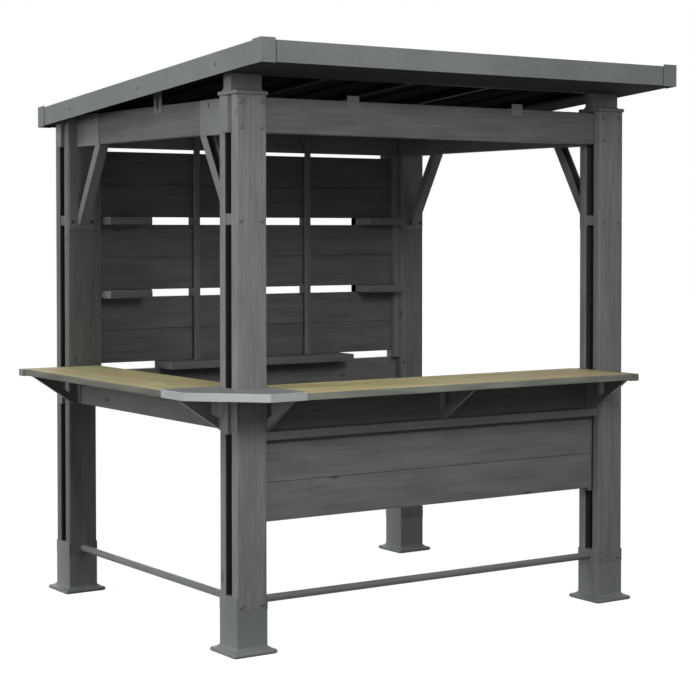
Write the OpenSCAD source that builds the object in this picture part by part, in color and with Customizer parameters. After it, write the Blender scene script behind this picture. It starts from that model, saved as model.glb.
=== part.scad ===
// Bar gazebo: four sandwich posts on steel feet, a steel mono-pitch roof,
// an L-shaped counter and a slatted back wall with shelves. Sizes in mm, +Z up.

/* [Posts] */
// distance between post centres, left to right
bay_width = 1922;  // [1200:10:3000]
// distance between post centres, front to back
bay_depth = 1563;  // [1000:10:2600]
// width of a post across its boards
post_width = 138;  // [90:1:200]
// thickness of each post board
board_t = 46;  // [30:1:60]
// clear gap between the two boards of a post
post_gap = 46;  // [30:1:60]
// easing radius on the long edges of the post boards
edge_round = 8;  // [2:1:12]
// height of the spacer block in each post
spacer_height = 45;  // [20:1:80]

/* [Feet] */
// side of the square base flange
foot_flange = 208;  // [150:2:260]
// height of the flared base under a post
foot_rise = 34;  // [24:1:50]
// top of the steel foot in the post gap and on the post's sides
foot_top = 236;  // [120:2:320]
// height at which the post boards stand on the foot
board_seat = 180;  // [80:2:280]
// diameter of the foot rails
rail_dia = 32;  // [25:1:50]
// height of the foot rails' centre line
rail_height = 207;  // [120:1:320]

/* [Top frame] */
// underside of the top beams
beam_bottom = 2108;  // [1900:1:2300]
// height of the top beams and the lower rails
beam_height = 144;  // [100:1:200]
// how far the capped beam ends stand out of the posts
cap_reach = 18;  // [5:1:60]
// length of the steel sleeve on a side beam's end
sleeve_length = 236;  // [120:2:320]
// drop from the top beams down to the ledge under a knee brace
brace_drop = 370;  // [250:1:500]
// width of the diagonal knee brace
brace_width = 46;  // [40:2:120]
// thickness of the diagonal knee brace
brace_t = 42;  // [10:1:60]

/* [Roof] */
// rise of the roof's front edge over the top beams
roof_front_rise = 193;  // [120:1:400]
// rise of the roof's back edge over the top beams
roof_back_rise = 40;  // [34:1:100]
// roof overhang in front of the front posts' centres
roof_front = 354;  // [100:1:600]
// roof overhang behind the back posts' centres
roof_back = 133;  // [90:1:400]
// roof overhang beside the posts' centres
roof_side = 125;  // [90:1:400]
// height of the roof's edge channel
fascia_height = 88;  // [50:1:160]

/* [Counter] */
// height of the counter's upper face
counter_top = 1074;  // [950:5:1150]
// thickness of the counter boards
counter_t = 30;  // [20:1:50]
// counter edge in front of the front posts' centres
counter_front_out = 328;  // [200:1:500]
// counter edge left of the left posts' centres
counter_left_out = 317;  // [200:1:500]
// number of boards side by side in the counter
counter_boards = 3;  // [2:1:5]

/* [Walls] */
// height of the gaps between the wall panels
wall_gap = 36;  // [20:1:60]
// height of the gap between the top beam and the wall
wall_top_gap = 18;  // [5:1:60]
// height of the front panel
panel_height = 335;  // [150:1:500]
// depth of the shelves in front of the wall
shelf_depth = 132;  // [80:1:300]
// length of the short shelves
shelf_short = 224;  // [100:1:500]

/* [Hidden] */
$fn = 32;
half = post_width / 2;
gap2 = post_gap / 2;
beam_top = beam_bottom + beam_height;
bracket_t = 4;
rail_top = counter_top - counter_t - bracket_t;
rail_bottom = rail_top - beam_height;
ledge_top = beam_bottom - brace_drop;
roof_front_top = beam_top + roof_front_rise;
roof_back_top = beam_top + roof_back_rise;
steel = 3;
foot_wall = 4;
cap_proud = 4;
cleat_proud = 6;
corner_proud = 4;
corner_rise = 6;
side_lift = 8;
front_lift = 3;
hem_lift = 4;
lip_t = 16;
lip_out = 7;
front_post_top = beam_top + 5;
header_h = 25;
header_half = 30;
slope = (roof_front_top - roof_back_top) / (roof_front + bay_depth + roof_back);
roof_angle = atan(slope);
rafter_h = 30;
rafter_w = 40;
sheet_drop = 22;
x_min = -counter_left_out - cleat_proud;
x_max = bay_width + roof_side + corner_proud;
y_min = -roof_front - corner_proud;
y_max = bay_depth + roof_back + corner_proud;
mid_x = (x_min + x_max) / 2;
mid_y = (y_min + y_max) / 2;
corner_seam_x = 100;
corner_seam_y = 111;
chamfer = counter_left_out - half;
end_cleat = 48;
corner_step = 4;
board_groove = 4;
wall_z1 = beam_bottom - wall_top_gap;
wall_step = (wall_z1 - rail_top) / 3;
panel_h = wall_step - wall_gap;
gap_z = wall_z1 - panel_h;
batten = 36;
batten_x = [0.316 * bay_width, 0.652 * bay_width];
shelf_long_half = 0.276 * bay_width;
ledge_h = 36;
panel_top = rail_bottom - ledge_h;
panel_bottom = panel_top - panel_height;
cleat_w = 18;
cleat_drop = 14;
panel_seam = 158;
rafter_out = 95;
rafter_x = [-rafter_out, 0.271 * bay_width, 0.5 * bay_width, 0.729 * bay_width,
    bay_width + rafter_out];
bracket_w = 30;
bracket_top_w = 40;
bracket_out = 236;
cut_low = 36;
cut_out = 82;
brace_plate_half = 65;
brace_ledge_half = 50;
brace_lip = 19;
brace_wall = 4;
brace_rise = 42;
brace_run = 242;
brace_foot = 23;
wood = [0.27, 0.28, 0.28];
steel_c = [0.45, 0.48, 0.47];
tan_c = [0.63, 0.60, 0.47];
pale_c = [0.70, 0.72, 0.70];

// roof's upper line and the rafters' underside at a distance y
function top_at(y) = roof_front_top - (y + roof_front) * slope;
under_drop = top_at(bay_depth + gap2 + steel) - beam_top;
function rim_at(y) =
    top_at(y) + side_lift * (bay_depth + roof_back - y) / (roof_front + bay_depth + roof_back);
function hem_at(y) = top_at(y) - fascia_height
    + hem_lift * (bay_depth + roof_back - y) / (roof_front + bay_depth + roof_back);
function under_at(y) = top_at(y) - under_drop;
header_top = under_at(header_half);
header_bottom = header_top - header_h;

// moves a piece from the front left post's centre to the part's own origin
module place() {
    translate([-mid_x, -mid_y, 0]) children();
}

// box from its low corner to its high corner
module box(a, b) {
    translate(a) cube([b[0] - a[0], b[1] - a[1], b[2] - a[2]]);
}

// upright board with eased long edges, w along X and t along Y, from its centre
module eased_board(w, t, h) {
    r = edge_round;
    linear_extrude(h) union() {
        square([w - 2 * r, t], center = true);
        square([w, t - 2 * r], center = true);
        for (sx = [-1, 1]) for (sy = [-1, 1])
            translate([sx * (w / 2 - r), sy * (t / 2 - r)]) circle(r);
    }
}

// two boards with a gap, joined by a spacer block
module post(x, y, top) {
    color(wood) place() translate([x, y, 0]) {
        for (s = [-1, 1])
            translate([0, s * (gap2 + board_t / 2), board_seat])
                eased_board(post_width, board_t, top - board_seat);
        z0 = gap_z - wall_gap / 2 - spacer_height / 2;
        box([-half + 5, -gap2 - 1, z0], [half - 5, gap2 + 1, z0 + spacer_height]);
    }
}

module post_front_left() { post(0, 0, front_post_top); }
module post_front_right() { post(bay_width, 0, front_post_top); }
module post_back_left() { post(0, bay_depth, beam_top); }
module post_back_right() { post(bay_width, bay_depth, beam_top); }

// flared base, square box under the boards, side plates and tongue between the boards
module foot() {
    f = foot_flange / 2;
    plate = 18;
    o = half + foot_wall;
    union() {
        eased_board(2 * f - 8, 2 * f - 8, plate);
        translate([0, 0, 4]) eased_board(2 * f, 2 * f, plate - 8);
        polyhedron(
            points = [
                [-f + 6, -f + 6, plate - 1], [f - 6, -f + 6, plate - 1],
                [f - 6, f - 6, plate - 1], [-f + 6, f - 6, plate - 1],
                [-o - 1, -half - 2, foot_rise], [o + 1, -half - 2, foot_rise],
                [o + 1, half + 2, foot_rise], [-o - 1, half + 2, foot_rise]],
            faces = [[0, 1, 2, 3], [7, 6, 5, 4], [4, 5, 1, 0],
                [5, 6, 2, 1], [6, 7, 3, 2], [7, 4, 0, 3]]);
        box([-o, -half - 1, foot_rise - 2], [o, half + 1, board_seat]);
        for (x = [-o, half]) box([x, -half - 1, board_seat - 1],
            [x + foot_wall, half + 1, foot_top]);
        box([-half - 1, -gap2, board_seat - 1], [half + 1, gap2, foot_top]);
    }
}

module feet() {
    color(steel_c) place() for (x = [0, bay_width]) for (y = [0, bay_depth])
        translate([x, y, 0]) foot();
}

// lipped collar on a front post with the box that lifts the roof's front
module front_post_caps() {
    o = half + lip_out;
    color(steel_c) place() for (x = [0, bay_width]) translate([x, 0, 0]) union() {
        box([-o, -o, front_post_top], [o, o, front_post_top + lip_t]);
        box([-half - 4, -header_half, front_post_top + lip_t - 1],
            [half + 4, header_half, header_bottom]);
        box([-half - 8, -header_half - 4, front_post_top + lip_t - 1],
            [half + 8, header_half + 4, front_post_top + lip_t + 6]);
    }
}

// beams and rails
module beam_x(y, z) {
    e = half + cap_reach - steel;
    color(wood) place() box([-e, y - gap2, z], [bay_width + e, y + gap2, z + beam_height]);
}

module beam_y(x, z, s) {
    color(wood) place()
        box([x - gap2, half + s, z], [x + gap2, bay_depth - half - s, z + beam_height]);
}

module front_beam() { beam_x(0, beam_bottom); }
module back_beam() { beam_x(bay_depth, beam_bottom); }
module left_beam() { beam_y(0, beam_bottom, steel); }
module right_beam() { beam_y(bay_width, beam_bottom, steel); }
module front_rail() { beam_x(0, rail_bottom); }
module back_rail() { beam_x(bay_depth, rail_bottom); }
module left_rail() { beam_y(0, rail_bottom, 0); }

// steel shoe over the end of a beam, open towards the post
module end_cap(s) {
    o = gap2 + steel;
    x0 = s < 0 ? -half - cap_reach : half;
    c0 = s < 0 ? x0 + steel : x0 - 1;
    difference() {
        box([x0, -o, -steel], [x0 + cap_reach, o, beam_height]);
        box([c0, -gap2, 0], [c0 + cap_reach - steel + 1, gap2, beam_height + 1]);
    }
}

module beam_end_caps() {
    color(steel_c) place() for (z = [beam_bottom, rail_bottom]) for (y = [0, bay_depth]) {
        translate([0, y, z]) union() {
            end_cap(-1);
            if (y == 0 && z == rail_bottom) for (s = [-1, 1]) scale([1, s, 1])
                box([-half - 4, gap2 + steel - 1, 8], [-half, half + 5, beam_height - 6]);
        }
        translate([bay_width, y, z]) end_cap(1);
    }
}

// knee brace bracket seen from the post outwards along +Y, post face at y = 0
module brace() {
    o = gap2 + steel;
    zt = beam_bottom;
    zl = ledge_top;
    run = brace_run;
    foot_y = brace_foot;
    in_y = brace_t * 1.2;
    w = brace_width / 2;
    union() {
        difference() {
            box([-o, 0, zt - steel], [o, sleeve_length, beam_top]);
            box([-gap2, steel, zt], [gap2, sleeve_length + 1, beam_top + 1]);
        }
        box([-brace_plate_half, 0, zl - brace_lip], [brace_plate_half, steel + 2, zt - steel]);
        box([-brace_ledge_half, 0, zl - brace_lip], [brace_ledge_half, 8, zl]);
        difference() {
            translate([-w, 0, 0]) rotate([90, 0, 90])
                linear_extrude(brace_width) polygon([[0, zl], [foot_y, zl],
                    [run, zt - steel + 1], [run - in_y, zt - steel + 1],
                    [0, zl + brace_rise]]);
            translate([-w + brace_wall, 0, 0]) rotate([90, 0, 90])
                linear_extrude(brace_width - 2 * brace_wall) polygon([
                    [steel + 2, zl + brace_wall], [foot_y - 5, zl + brace_wall],
                    [run - 6, zt - steel - 1], [run - in_y - 8, zt - steel - 1],
                    [steel + 2, zl + brace_rise + 9]]);
        }
    }
}

module brace_front_left() { color(steel_c) place() translate([0, half, 0]) brace(); }
module brace_front_right() {
    color(steel_c) place() translate([bay_width, half, 0]) brace();
}
module brace_back_left() {
    color(steel_c) place() translate([0, bay_depth - half, 0]) rotate(180) brace();
}
module brace_back_right() {
    color(steel_c) place() translate([bay_width, bay_depth - half, 0]) rotate(180) brace();
}

// roof
module roof_header() {
    color(steel_c) place() box([-roof_side + steel, -header_half, header_bottom],
        [bay_width + roof_side - steel, header_half, header_top]);
}

// long section in the YZ plane following the roof's fall
module sloped(x0, x1, y0, y1, d0, d1) {
    translate([x0, 0, 0]) rotate([90, 0, 90]) linear_extrude(x1 - x0)
        polygon([[y0, top_at(y0) - d1], [y1, top_at(y1) - d1],
            [y1, top_at(y1) - d0], [y0, top_at(y0) - d0]]);
}

module roof_rafters() {
    d1 = under_drop;
    color(steel_c) place() for (x = rafter_x)
        sloped(x - rafter_w / 2, x + rafter_w / 2, -roof_front + 30,
            bay_depth + roof_back - 30, sheet_drop, d1);
}

module roof_sheet() {
    n = 11;
    x0 = -roof_side + steel;
    x1 = bay_width + roof_side - steel;
    p = (x1 - x0) / n;
    rib = 15;
    t = 1.2;
    up = [for (i = [0:n - 1]) for (q = [[0, 0], [p * 0.38, 0], [p * 0.44, rib],
        [p * 0.56, rib], [p * 0.62, 0]]) [x0 + i * p + q[0], q[1]]];
    line_up = concat(up, [[x1, 0]]);
    low = [for (i = [len(line_up) - 1:-1:0]) [line_up[i][0], line_up[i][1] + t]];
    color(steel_c) place()
        translate([0, -roof_front + steel + 2, top_at(-roof_front + steel + 2) - sheet_drop])
            rotate([-roof_angle, 0, 0]) rotate([-90, 0, 0]) mirror([0, 1, 0])
                linear_extrude(roof_front + bay_depth + roof_back - 2 * steel - 4)
                    polygon(concat(line_up, low));
}

module fascia_front() {
    x0 = -roof_side + steel;
    x1 = bay_width + roof_side - steel;
    y0 = -roof_front;
    zt = top_at(y0) + front_lift;
    zb = hem_at(y0);
    color(steel_c) place() difference() {
        union() {
            box([x0, y0, zb], [x1, y0 + 24, zt]);
            translate([x0, 0, 0]) rotate([90, 0, 90]) linear_extrude(x1 - x0)
                polygon([[y0 + 1, zb], [-header_half, header_bottom - 2],
                    [-header_half, header_bottom + 2], [y0 + 1, zb + steel]]);
        }
        box([x0 - 1, y0 + steel, zb + steel + 1], [x1 + 1, y0 + 25, zt - steel]);
    }
}

module fascia_back() {
    y1 = bay_depth + roof_back;
    zt = top_at(y1);
    color(steel_c) place() difference() {
        box([-roof_side + steel, y1 - 24, zt - fascia_height],
            [bay_width + roof_side - steel, y1, zt]);
        box([-roof_side, y1 - 25, zt - fascia_height + steel],
            [bay_width + roof_side, y1 - steel, zt - steel]);
    }
}

// side edge board, a little deeper at the front, raised or lowered by up and down
module edge_strip(x0, x1, y0, y1, up, down) {
    translate([x0, 0, 0]) rotate([90, 0, 90]) linear_extrude(x1 - x0)
        polygon([[y0, hem_at(y0) - down], [y1, hem_at(y1) - down],
            [y1, rim_at(y1) + up], [y0, rim_at(y0) + up]]);
}
module fascia_side(x0) {
    color(steel_c) place()
        edge_strip(x0, x0 + steel, -roof_front, bay_depth + roof_back, 0, 0);
}
module fascia_left() { fascia_side(-roof_side); }
module fascia_right() { fascia_side(bay_width + roof_side - steel); }

// angle piece wrapping a corner of the roof edge, arms along the front and the side
module corner_cap(x, y, sx, sy, arm_x, arm_y, up) {
    o = corner_proud;
    ys = sy < 0 ? [y - o, y + arm_y] : [y - arm_y, y + o];
    xf = sx < 0 ? [x - o, x + arm_x] : [x - arm_x, x + o];
    xs = sx < 0 ? [x - o, x] : [x, x + o];
    yf = sy < 0 ? [y - o, y] : [y, y + o];
    union() {
        box([xf[0], yf[0], hem_at(y) - 2], [xf[1], yf[1], rim_at(y) + up]);
        edge_strip(xs[0], xs[1], ys[0], ys[1], up, 2);
    }
}

module roof_corner_caps() {
    xr = bay_width + roof_side;
    yb = bay_depth + roof_back;
    color(steel_c) place() {
        corner_cap(-roof_side, -roof_front, -1, -1, 62, 62, corner_rise / 2);
        corner_cap(xr, -roof_front, 1, -1, 72, 62, corner_rise / 2);
        corner_cap(-roof_side, yb, -1, 1, 62, 62, corner_rise);
        corner_cap(xr, yb, 1, 1, 72, 62, corner_rise);
    }
}

// hooks over the front beam and a stirrup between the left beam and the roof
module roof_clips() {
    color(steel_c) place() {
        for (i = [1, 3]) translate([rafter_x[i], 0, 0]) union() {
            box([-30, -gap2 - steel, beam_top - 29], [30, -gap2, beam_top + 23]);
            box([-30, -gap2 - steel, beam_top], [30, gap2, beam_top + steel]);
        }
        translate([0, 0.436 * bay_depth, 0]) union() {
            z1 = under_at(0.436 * bay_depth + 36);
            for (y = [-36, 32])
                box([-gap2 - steel, y, beam_top - 34], [-gap2, y + 4, z1]);
            box([-gap2 - steel, -36, beam_top - 34], [-gap2, 36, beam_top - 20]);
            box([-gap2 - steel, -36, beam_top], [gap2, 36, beam_top + steel]);
        }
    }
}

// counter
module counter_slab(x0, y0, x1, y1, along_x) {
    w = along_x ? y1 - y0 : x1 - x0;
    b = w / counter_boards;
    g = board_groove;
    z0 = counter_top - counter_t;
    difference() {
        box([x0, y0, z0], [x1, y1, counter_top]);
        for (i = [1:counter_boards - 1])
            if (along_x)
                box([x0 - 1, y0 + i * b - g / 2, counter_top - 5],
                    [x1 + 1, y0 + i * b + g / 2, counter_top + 1]);
            else
                box([x0 + i * b - g / 2, y0 - 1, counter_top - 5],
                    [x0 + i * b + g / 2, y1 + 1, counter_top + 1]);
    }
}

module counter_front() {
    color(tan_c) place() counter_slab(corner_seam_x, -counter_front_out,
        bay_width - half - end_cleat, half, true);
}

module counter_left() {
    color(tan_c) place() counter_slab(-counter_left_out, corner_seam_y,
        half, bay_depth - half - end_cleat, false);
}

// corner plate seen from above
module corner_outline() {
    polygon([[-counter_left_out, -counter_front_out + chamfer],
        [-counter_left_out + chamfer, -counter_front_out],
        [corner_seam_x, -counter_front_out], [corner_seam_x, half],
        [half, half], [half, corner_seam_y], [-counter_left_out, corner_seam_y]]);
}

module counter_corner() {
    z0 = counter_top - counter_t;
    color(pale_c) place() difference() {
        translate([0, 0, z0]) linear_extrude(counter_top + corner_step - z0)
            corner_outline();
        box([-half, -half, z0 - 1], [half + 0.5, half + 0.5, counter_top + 9]);
    }
}

module counter_end_cleats() {
    z0 = counter_top - counter_t;
    z1 = counter_top - 2;
    tip = bracket_out + gap2 + 3;
    color(tan_c) place() {
        union() {
            box([bay_width - half - end_cleat, -counter_front_out - cleat_proud, z0],
                [bay_width - half, half, z1]);
            box([bay_width - half - end_cleat, -counter_front_out - cleat_proud,
                rail_top + 1], [bay_width - half, -tip, z0 + 1]);
        }
        union() {
            box([-counter_left_out - cleat_proud, bay_depth - half - end_cleat, z0],
                [half, bay_depth - half, z1]);
            box([-counter_left_out - cleat_proud, bay_depth - half - end_cleat,
                rail_top + 1], [-tip, bay_depth - half, z0 + 1]);
        }
    }
}

// folded bracket: wall at x = 0, arm along +X, gusset at y = 0, flanges towards +Y
module bracket() {
    low = rail_bottom;
    top = rail_top + bracket_t;
    out = bracket_out;
    t = bracket_t;
    toe = 30;
    lip = 10;
    fall = (top - lip - low) / (out - toe);
    union() {
        rotate([90, 0, 0]) translate([0, 0, -t]) linear_extrude(t) difference() {
            polygon([[0, low], [0, top], [out, top], [out, top - lip], [toe, low]]);
            polygon([[t + 2, low + cut_low], [t + 2, top - t - 2], [cut_out, top - t - 2],
                [cut_out, low + 2 * cut_low]]);
        }
        box([0, 0, low], [t, bracket_w, top]);
        box([-gap2 + 3, 0, top - t], [out, bracket_top_w, top]);
        rotate([90, 0, 0]) translate([0, 0, -18]) linear_extrude(18)
            polygon([[toe, low], [out, top - lip], [out, top - 1], [out - t, top - 1],
                [out - t, top - lip + 5 - t * fall], [toe - 5 / fall, low]]);
    }
}

module front_counter_brackets() {
    color(steel_c) place() {
        translate([half, -gap2, 0]) rotate(-90) bracket();
        translate([bay_width / 2 + 10, -gap2, 0]) rotate(-90) bracket();
        translate([bay_width - half, -gap2, 0]) mirror([1, 0, 0]) rotate(-90) bracket();
    }
}

module left_counter_brackets() {
    color(steel_c) place() {
        translate([-gap2, half + 6, 0]) mirror([1, 0, 0]) bracket();
        translate([-gap2, bay_depth - half, 0]) rotate(180) bracket();
    }
}

// front panel under the counter
module grooved(x0, x1, y, z0, m, z1) {
    difference() {
        box([x0, y - gap2, z0], [x1, y + gap2, z1]);
        box([x0 - 1, y - gap2 - 1, m - 2], [x1 + 1, y - gap2 + 5, m + 2]);
        box([x0 - 1, y + gap2 - 5, m - 2], [x1 + 1, y + gap2 + 1, m + 2]);
    }
}

module front_panel() {
    color(wood) place()
        grooved(half + cleat_w, bay_width - half - cleat_w, 0,
            panel_bottom, panel_bottom + panel_seam, panel_top);
}

module front_panel_battens() {
    y0 = -gap2 - batten;
    color(wood) place() union() {
        box([half, y0, panel_top], [bay_width - half, gap2, rail_bottom]);
        for (x = [half, bay_width - half - cleat_w])
            box([x, -gap2 + 2, panel_bottom - cleat_drop],
                [x + cleat_w, gap2 - 2, panel_top + 1]);
    }
}

module foot_rail_front() {
    color(steel_c) place() translate([half + foot_wall, 0, rail_height]) rotate([0, 90, 0])
        cylinder(h = bay_width - post_width - 2 * foot_wall, d = rail_dia);
}
module foot_rail_left() {
    color(steel_c) place() translate([0, half, rail_height]) rotate([-90, 0, 0])
        cylinder(h = bay_depth - post_width, d = rail_dia);
}

// back wall
module wall_panel(i) {
    z0 = gap_z - wall_step * i;
    color(wood) place() grooved(half, bay_width - half, bay_depth,
        z0, z0 + panel_h / 2, z0 + panel_h);
}
module wall_panel_top() { wall_panel(0); }
module wall_panel_middle() { wall_panel(1); }
module wall_panel_bottom() { wall_panel(2); }

// flat uprights held off the wall by blocks at its gaps and at the beam
module wall_battens() {
    y1 = bay_depth - gap2;
    t = 13;
    color(wood) place() for (x = batten_x) union() {
        box([x, y1 - batten, rail_top + wall_gap], [x + batten, y1 - batten + t, beam_top]);
        for (z = [gap_z - wall_step, gap_z, beam_bottom + 60 + wall_gap])
            box([x, y1 - batten + t - 1, z - wall_gap], [x + batten, y1, z]);
    }
}

// full-height battens at the posts, with a packer that holds the wall off the beam
module wall_end_battens() {
    y1 = bay_depth - gap2;
    color(wood) place() for (s = [0, 1])
        translate([s * bay_width, 0, 0]) scale([1 - 2 * s, 1, 1]) union() {
            box([half, y1 - batten, rail_top], [half + batten, y1, beam_bottom]);
            box([half, y1 - 1, wall_z1], [half + 75, y1 + post_gap, beam_bottom]);
        }
}

// shelves fill the gap they pass through
module shelf(x0, x1, i) {
    z1 = gap_z - wall_step * i;
    box([x0, bay_depth - gap2 - shelf_depth, z1 - wall_gap], [x1, bay_depth + gap2, z1]);
}
module short_shelves(i) {
    x0 = half + batten;
    x1 = bay_width - half - batten;
    color(wood) place() {
        shelf(x0, x0 + shelf_short, i);
        shelf(x1 - shelf_short, x1, i);
    }
}
module shelves_upper() { short_shelves(0); }
module shelves_lower() { short_shelves(1); }
module shelf_long() {
    m = bay_width / 2;
    color(wood) place() shelf(m - shelf_long_half, m + shelf_long_half, 2);
}

post_front_left();
post_front_right();
post_back_left();
post_back_right();
feet();
front_post_caps();
front_beam();
back_beam();
left_beam();
right_beam();
beam_end_caps();
brace_front_left();
brace_back_left();
brace_front_right();
brace_back_right();
roof_header();
roof_rafters();
roof_sheet();
fascia_front();
fascia_back();
fascia_left();
fascia_right();
roof_corner_caps();
roof_clips();
counter_front();
counter_left();
counter_corner();
counter_end_cleats();
front_counter_brackets();
left_counter_brackets();
front_rail();
back_rail();
left_rail();
front_panel();
front_panel_battens();
foot_rail_front();
foot_rail_left();
wall_panel_top();
wall_panel_middle();
wall_panel_bottom();
wall_battens();
wall_end_battens();
shelves_upper();
shelves_lower();
shelf_long();
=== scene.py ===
# %% [markdown]
# # Dressing a bar gazebo
# The construction model already holds every part of the gazebo at its true place
# and size. This lesson gives those parts the look of the real thing: planed and
# stained timber, powder-coated steel, oiled counter boards, bolts and screws.
# Everything is in metres, +Z is up, and the long counter looks towards -Y.

# %% Bring in the frame
import math

import bmesh
import bpy
import numpy as np
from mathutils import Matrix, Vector


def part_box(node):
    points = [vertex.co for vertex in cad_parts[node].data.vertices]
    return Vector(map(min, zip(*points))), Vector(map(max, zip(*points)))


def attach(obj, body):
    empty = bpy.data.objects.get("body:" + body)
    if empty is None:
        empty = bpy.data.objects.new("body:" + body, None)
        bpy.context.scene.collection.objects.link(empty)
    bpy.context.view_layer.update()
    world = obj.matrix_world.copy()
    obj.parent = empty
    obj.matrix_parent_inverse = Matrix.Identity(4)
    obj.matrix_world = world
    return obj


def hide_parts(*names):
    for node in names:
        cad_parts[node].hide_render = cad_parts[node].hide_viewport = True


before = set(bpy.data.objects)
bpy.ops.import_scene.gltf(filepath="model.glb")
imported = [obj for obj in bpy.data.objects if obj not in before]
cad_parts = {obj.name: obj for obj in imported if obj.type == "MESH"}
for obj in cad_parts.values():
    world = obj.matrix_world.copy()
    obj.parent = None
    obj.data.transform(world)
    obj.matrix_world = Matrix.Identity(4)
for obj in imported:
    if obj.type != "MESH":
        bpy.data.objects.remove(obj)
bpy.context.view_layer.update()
scene = bpy.context.scene
print("parts in the frame:", len(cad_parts))

# %% [markdown]
# ## Reading places from the parts
# Nothing here is measured twice. Each new piece asks the part that it belongs to
# for its lowest and highest corner, so a change of size carries through.

# %% Corners of a part


def span(node):
    """Lowest and highest corner of a part as two arrays of three numbers."""
    low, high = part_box(node)
    return np.array(low), np.array(high)


post_names = ["post_front_left", "post_front_right", "post_back_left", "post_back_right"]
posts = {name: span(name) for name in post_names}
middle = {name: (low + high) / 2 for name, (low, high) in posts.items()}
print("post centres:", {n: [round(float(v), 3) for v in m[:2]] for n, m in middle.items()})

# %% [markdown]
# ## Shader maths as plain expressions
# A procedural material is a network of small nodes. Written by hand it is hard to
# read, so one class wraps a socket and lets + - * build the Math nodes. Every
# other node comes from one method, node(), of the class that holds a material.

# %% A socket that does sums


class Wire:
    """A node's output that can be used in sums; each operator adds a Math node."""

    def __init__(self, coat, socket):
        self.coat, self.socket = coat, socket

    def _sum(self, operation, a, b=None):
        values = {0: a} if b is None else {0: a, 1: b}
        return self.coat.node("ShaderNodeMath", {"operation": operation}, values)

    def __add__(self, other):
        return self._sum("ADD", self, other)

    def __sub__(self, other):
        return self._sum("SUBTRACT", self, other)

    def __mul__(self, other):
        return self._sum("MULTIPLY", self, other)

    def __rsub__(self, other):
        return self._sum("SUBTRACT", other, self)

    def __abs__(self):
        return self._sum("ABSOLUTE", self)

    __radd__ = __add__
    __rmul__ = __mul__

    def sine(self):
        return self._sum("SINE", self)

    def span(self, a, b):
        """0 below a, 1 above b and a smooth rise between them."""
        return self.coat.node("ShaderNodeMapRange", {"interpolation_type": "SMOOTHSTEP"},
                              {"Value": self, "From Min": a, "From Max": b})


print("a wire can add, subtract, multiply, take abs() and a sine, and ease in a span")

# %% [markdown]
# ## One material, one surface
# Every finish of the gazebo is a matt or satin surface, so one Principled shader
# does for all. The nodes could be placed by hand in the editor. A class that adds
# them one by one is easier to read again, and to change.

# %% A material that grows by one method


class Coat:
    """One material: a Principled surface and the nodes that feed it."""

    def __init__(self, name, roughness, shine):
        self.material = bpy.data.materials.new(name)
        self.material.use_nodes = True
        self.tree = self.material.node_tree
        self.surface = self.tree.nodes["Principled BSDF"]
        self.surface.inputs["Roughness"].default_value = roughness
        self.surface.inputs["Specular IOR Level"].default_value = shine

    def feed(self, socket, value):
        if isinstance(value, Wire):
            self.tree.links.new(value.socket, socket)
        else:
            socket.default_value = value

    def node(self, kind, settings=None, inputs=None, out=0):
        """Adds a node: its settings first, then the values or links of its sockets."""
        made = self.tree.nodes.new(kind)
        for key, value in (settings or {}).items():
            setattr(made, key, value)
        for key, value in (inputs or {}).items():
            self.feed(made.inputs[key], value)
        return Wire(self, made.outputs[out])

    def place(self):
        """The point on the object, as three separate numbers."""
        point = self.node("ShaderNodeTexCoord", out="Object")
        return [self.node("ShaderNodeSeparateXYZ", None, {0: point}, out=k) for k in range(3)]

    def vector(self, x, y, z):
        return self.node("ShaderNodeCombineXYZ", None, {0: x, 1: y, 2: z})

    def noise(self, where, scale, detail, rough=0.5, warp=0.0):
        return self.node("ShaderNodeTexNoise", None, {
            "Vector": where, "Scale": scale, "Detail": detail,
            "Roughness": rough, "Distortion": warp}, out="Fac")

    def upward(self):
        """The height part of the surface's normal: 1 on top, 0 at the sides, -1 below."""
        normal = self.node("ShaderNodeTexCoord", out="Normal")
        return self.node("ShaderNodeSeparateXYZ", None, {0: normal}, out=2)

    def blend(self, share, a, b):
        """Mixes two colours; share 0 is a and 1 is b."""
        return self.node("ShaderNodeMix", {"data_type": "RGBA"}, {0: share, 6: a, 7: b}, out=2)

    def finish(self, colour, roughness, height, strength, depth):
        """Feeds the surface; the bump's depth is in metres."""
        self.feed(self.surface.inputs["Base Color"], colour)
        self.feed(self.surface.inputs["Roughness"], roughness)
        bump = self.node("ShaderNodeBump", None, {
            "Strength": strength, "Distance": depth, "Height": height})
        self.feed(self.surface.inputs["Normal"], bump)
        return self.material


print("a coat feeds its surface through finish()")

# %% [markdown]
# ## Colours in linear light
# Paint charts give 0 to 255 per channel, but the renderer adds up light. Typing
# linear numbers would work too, and nobody could read them, so one formula
# translates.

# %% Colours


def tint(r, g, b):
    """A colour given as 0 to 255 per channel, turned into linear light."""
    c = np.array([r, g, b]) / 255
    lin = np.where(c <= 0.04045, c / 12.92, ((c + 0.055) / 1.055) ** 2.4)
    return (*[float(v) for v in lin], 1.0)


print("mid grey in linear light:", round(tint(128, 128, 128)[0], 3))

# %% [markdown]
# ## Stained timber
# The posts, beams and wall are planed softwood under a charcoal stain. The stain
# lets the growth rings through as faint lines along each board, with a few knots
# and a slow change of tone. The pattern is built from the object's own
# coordinates, stretched along the board, so it has the true scale on every board.
# Each board carries a number, and the number shifts the pattern, because no two
# boards are cut from the same place in a tree.

# %% Painted shade inside a gap


def painted_gap_shade(coat, axes, lines, half, height):
    """Painted shade inside a post's gap: 1 within half of a line y = c, and 0 elsewhere and
    near the spacer's height.
    """
    blur = 0.0015
    spacer = (0.0230, 0.0250)
    inside = 0.0
    for line in lines:
        inside = (1.0 - abs(axes[1] - line).span(half, half + blur)) + inside
    return inside * abs(axes[2] - height).span(*spacer)


print("a gap is dark between two post boards, but not at the spacer block")

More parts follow.
